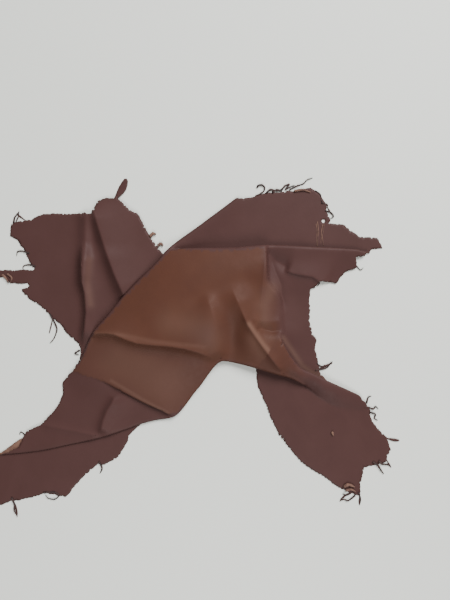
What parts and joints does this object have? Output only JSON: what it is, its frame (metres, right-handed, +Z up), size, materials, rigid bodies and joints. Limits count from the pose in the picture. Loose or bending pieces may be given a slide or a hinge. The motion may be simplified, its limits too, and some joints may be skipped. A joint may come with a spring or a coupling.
{
  "type": "leather hide",
  "caption": "Small dyed leather hide thrown down on a flat surface, its middle pushed into pleats, with flat ragged lobes and torn edges.",
  "frame": {"origin": "on the surface that the hide lies on, under the middle of its bounding box", "axes": "+X along the longest side of the hide as it lies, +Z up from the surface"},
  "size_m": [0.9948, 0.7745, 0.0569],
  "materials": {
    "leather": "semi-matt dyed grain"
  },
  "bodies": {
    "root": {"hide": "leather"}
  },
  "joints": []
}
